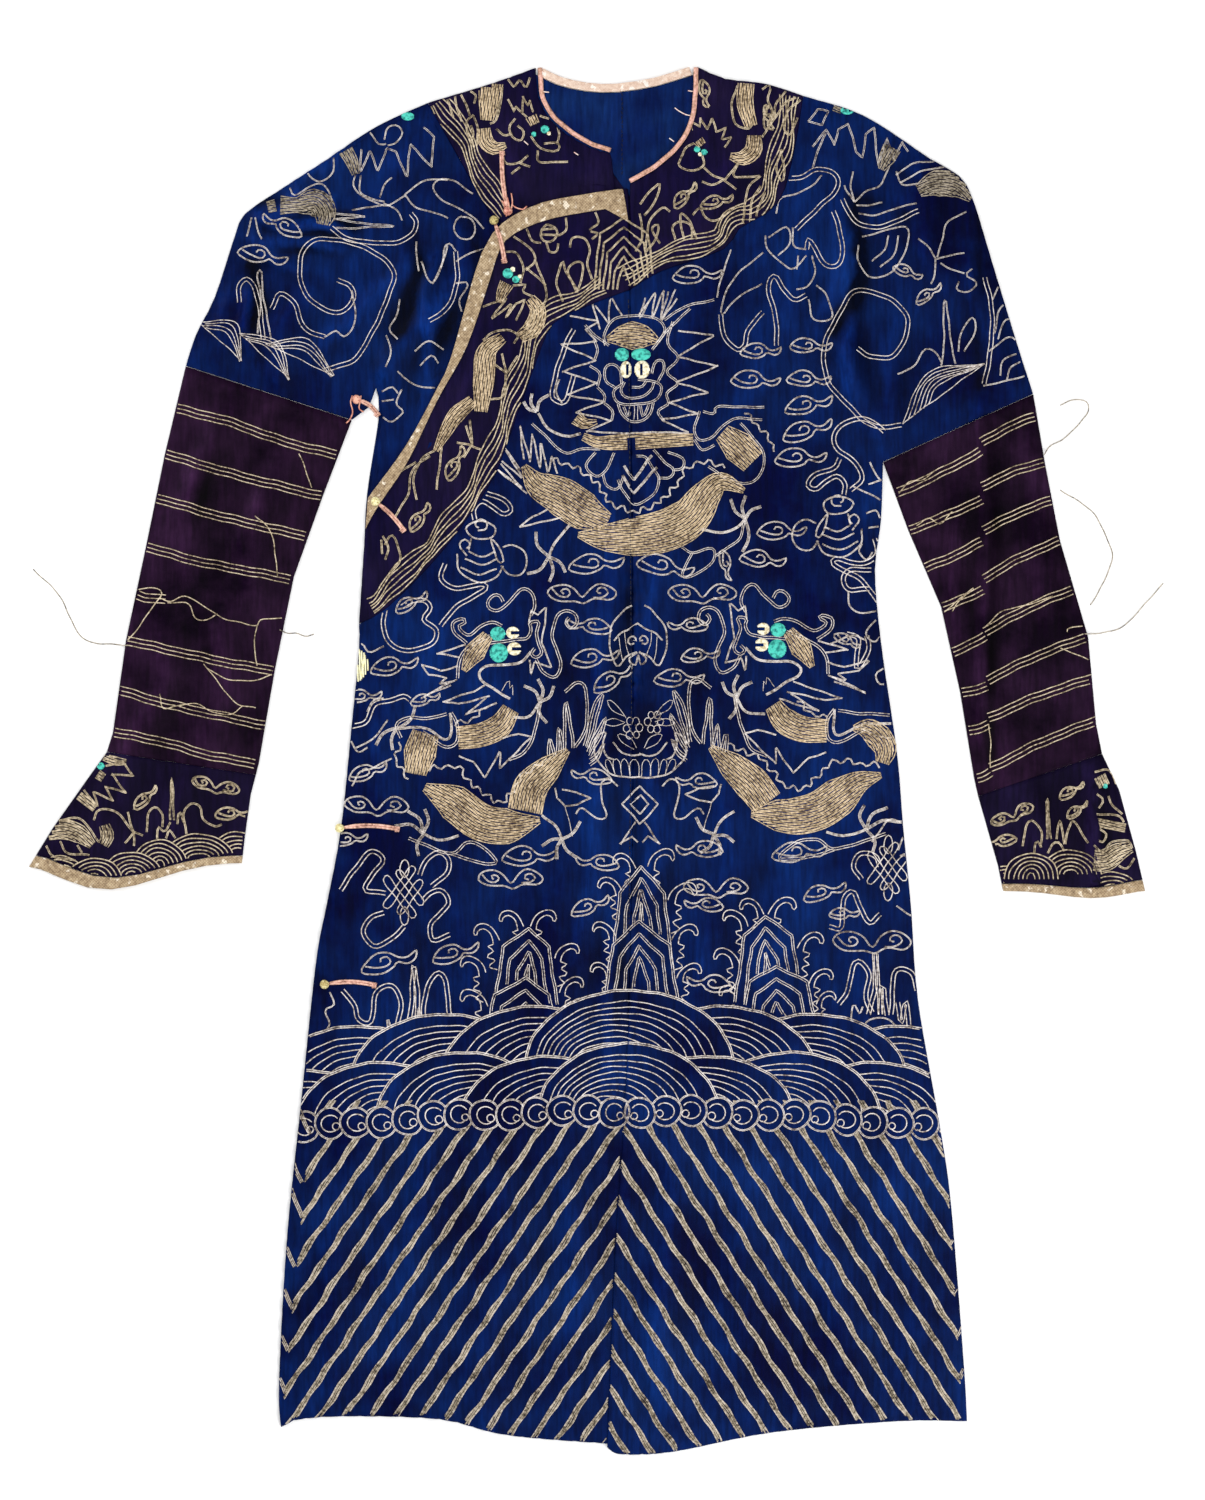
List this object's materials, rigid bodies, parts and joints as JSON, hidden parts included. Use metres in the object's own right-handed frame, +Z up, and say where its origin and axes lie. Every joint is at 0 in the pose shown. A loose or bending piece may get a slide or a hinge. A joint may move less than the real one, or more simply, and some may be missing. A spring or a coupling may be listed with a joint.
{
  "type": "chinese dragon robe",
  "caption": "Full-length silk court robe with a curved side closure, horse-hoof cuffs and couched gold dragons, laid flat on its back with the front up.",
  "frame": {"origin": "on the surface the robe lies on, in the middle of its outline", "axes": "+Y towards the neck, +Z up out of the front, +X towards the wearer's left sleeve"},
  "size_m": [1.116, 1.387, 0.015],
  "materials": {
    "blue_silk": "deep blue figured silk with couched gold-wrapped thread",
    "purple_silk": "dark purple-brown figured silk with couched gold-wrapped thread",
    "cuff_silk": "blue-purple silk with couched gold-wrapped thread",
    "lining_silk": "plain mid-blue silk lining",
    "gold_braid": "woven metal-thread braid, tarnished and worn",
    "gold_thread": "gold-wrapped silk thread, laid in pairs and stitched down",
    "eye_silk": "floss silk in satin stitch, turquoise and cream",
    "peach_binding": "peach silk binding, frayed in places",
    "pink_cord": "pink silk cord edge",
    "loop_strip": "folded pinkish-gold silk strip, frayed",
    "button_knot": "knotted cord ball, worn gold"
  },
  "bodies": {
    "root": {"back_right": "blue_silk", "back_left": "blue_silk", "back_yoke": "purple_silk", "back_lining": "lining_silk", "front_left": "blue_silk", "front_left_yoke": "purple_silk", "overlap_front": "blue_silk", "overlap_yoke": "purple_silk", "front_right": "blue_silk", "front_right_yoke": "purple_silk", "closure_band": "gold_braid", "sleeve_right": "purple_silk", "sleeve_left": "purple_silk", "cuff_right": "cuff_silk", "cuff_left": "cuff_silk", "cuff_braid_right": "gold_braid", "cuff_braid_left": "gold_braid", "neck_binding_back": "peach_binding", "neck_cord_right": "pink_cord", "neck_cord_left": "pink_cord", "loop_neck": "loop_strip", "loop_chest": "loop_strip", "loop_underarm": "loop_strip", "loop_side_upper": "loop_strip", "loop_side_middle": "loop_strip", "loop_side_lower": "loop_strip", "button_neck": "button_knot", "button_chest": "button_knot", "button_underarm": "button_knot", "button_side_upper": "button_knot", "button_side_middle": "button_knot", "button_side_lower": "button_knot"}
  },
  "joints": []
}
